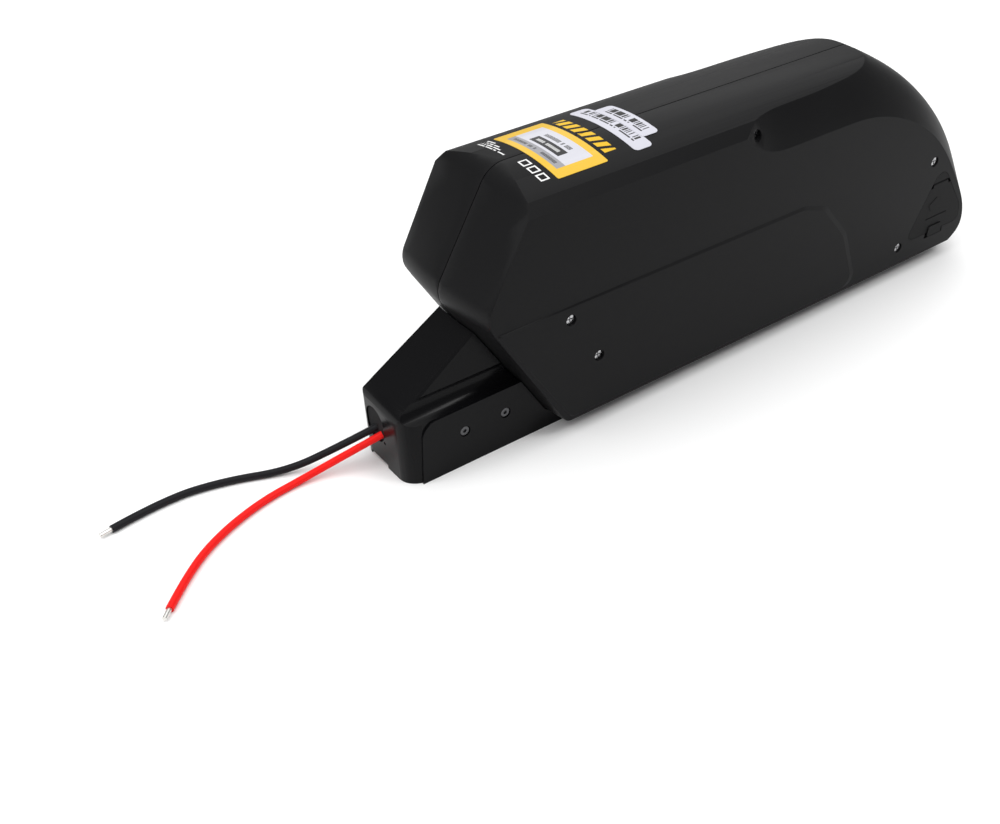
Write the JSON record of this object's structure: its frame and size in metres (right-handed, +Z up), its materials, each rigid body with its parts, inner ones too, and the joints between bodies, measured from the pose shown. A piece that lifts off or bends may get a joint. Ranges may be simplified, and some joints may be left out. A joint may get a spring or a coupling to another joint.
{
  "type": "down-tube battery pack",
  "caption": "Long wedge-nosed battery pack in two black half shells, seated on a slide-on rail base whose terminal box lets out a red and a black lead.",
  "frame": {"origin": "on the underside of the base plate, on the seam plane, half way along the base and pack together", "axes": "+X from the cable end towards the pack's rounded free end, +Z up out of the mounting surface through the pack, +Y towards the side with the lock"},
  "size_m": [0.6288, 0.0967, 0.1689],
  "materials": {
    "shell_black": "fine spark texture, dull",
    "base_black": "satin",
    "box_black": "satin, smoother than the shells",
    "screw_steel": "zinc plated, bright",
    "seal_rubber": "soft matte",
    "holder_plastic": "moulded",
    "cell_wrap": "blue heat-shrink sleeve over the can",
    "nickel": "plain strip",
    "fibre_sheet": "pressed fibre",
    "board_green": "solder mask",
    "chip_black": "moulded",
    "sink_aluminium": "extruded",
    "connector_white": "moulded",
    "connector_black": "moulded",
    "fuse_ceramic": "glazed",
    "copper": "plain",
    "brass_contact": "plated",
    "cover_rubber": "matte",
    "lock_zinc": "die cast",
    "lock_steel": "turned",
    "rocker_black": "polished",
    "window_clear": "smoked lens",
    "button_rubber": "soft",
    "label_yellow": "laminated, yellow frame round a white panel",
    "label_white": "laminated",
    "lead_black": "silicone insulation",
    "lead_red": "silicone insulation",
    "tinned_strand": "tinned",
    "sleeve_braid": "braided"
  },
  "bodies": {
    "base": {"base_plate": "base_black", "terminal_box": "box_black", "box_screws": "screw_steel", "base_connector": "connector_black", "base_blades": "brass_contact", "lead_lugs": "nickel", "inner_leads": "lead_black", "cable_sleeve": "sleeve_braid", "lead_black": "lead_black", "strand_black": "tinned_strand", "lead_red": "lead_red", "strand_red": "tinned_strand", "lock_striker": "lock_steel"},
    "pack": {"left_shell": "shell_black", "right_shell": "shell_black", "shell_screws": "screw_steel", "shell_seal": "seal_rubber", "cell_holder_left": "holder_plastic", "cell_holder_right": "holder_plastic", "cell_group_01": "cell_wrap", "cell_group_02": "cell_wrap", "cell_group_03": "cell_wrap", "cell_group_04": "cell_wrap", "cell_group_05": "cell_wrap", "cell_group_06": "cell_wrap", "cell_group_07": "cell_wrap", "cell_group_08": "cell_wrap", "cell_group_09": "cell_wrap", "cell_group_10": "cell_wrap", "cell_group_11": "cell_wrap", "cell_group_12": "cell_wrap", "cell_group_13": "cell_wrap", "nickel_left": "nickel", "nickel_right": "nickel", "insulating_sheet": "fibre_sheet", "bms_board": "board_green", "bms_transistors": "chip_black", "heat_sink": "sink_aluminium", "balance_connector": "connector_white", "fuse_holder": "chip_black", "fuse_link": "fuse_ceramic", "copper_bars": "copper", "pack_connector": "connector_black", "pack_contacts": "brass_contact", "charge_port": "connector_black", "charge_pin": "brass_contact", "charge_cover_tab": "cover_rubber", "lock_housing": "lock_zinc", "switch_bezel": "connector_black", "gauge_board": "board_green", "gauge_window": "window_clear", "rating_label": "label_yellow", "barcode_label": "label_white", "serial_label": "label_white"},
    "charge_flap": {"charge_cover": "cover_rubber"},
    "lock_cylinder": {"lock_barrel": "lock_steel"},
    "lock_pin": {"lock_bolt": "lock_steel"},
    "power_switch": {"switch_rocker": "rocker_black"},
    "gauge_push": {"gauge_button": "button_rubber"}
  },
  "joints": [
    {"name": "pack_slide", "type": "slide", "parent": "base", "child": "pack", "axis": [1, 0, 0], "range_m": [0, 0.045]},
    {"name": "cover_hinge", "type": "hinge", "parent": "pack", "child": "charge_flap", "pos_m": [0.1965, -0.0439, 0.065], "axis": [-1, 0, 0], "range_deg": [0, 100]},
    {"name": "lock_turn", "type": "hinge", "parent": "pack", "child": "lock_cylinder", "pos_m": [0.1785, 0.045, 0.037], "axis": [0, 1, 0], "range_deg": [0, 90]},
    {"name": "bolt_drop", "type": "slide", "parent": "pack", "child": "lock_pin", "axis": [0, 0, -1], "range_m": [0, 0.0071]},
    {"name": "switch_rock", "type": "hinge", "parent": "pack", "child": "power_switch", "pos_m": [0.1775, 0.042, 0.069], "axis": [1, 0, 0], "range_deg": [0, 16]},
    {"name": "gauge_press", "type": "slide", "parent": "pack", "child": "gauge_push", "axis": [0, -1, 0], "range_m": [0, 0.0008], "stiffness_N_per_m": 600}
  ],
  "couplings": [
    {"joint": "bolt_drop", "follows": "lock_turn", "m_per_rad": 0.0045}
  ]
}
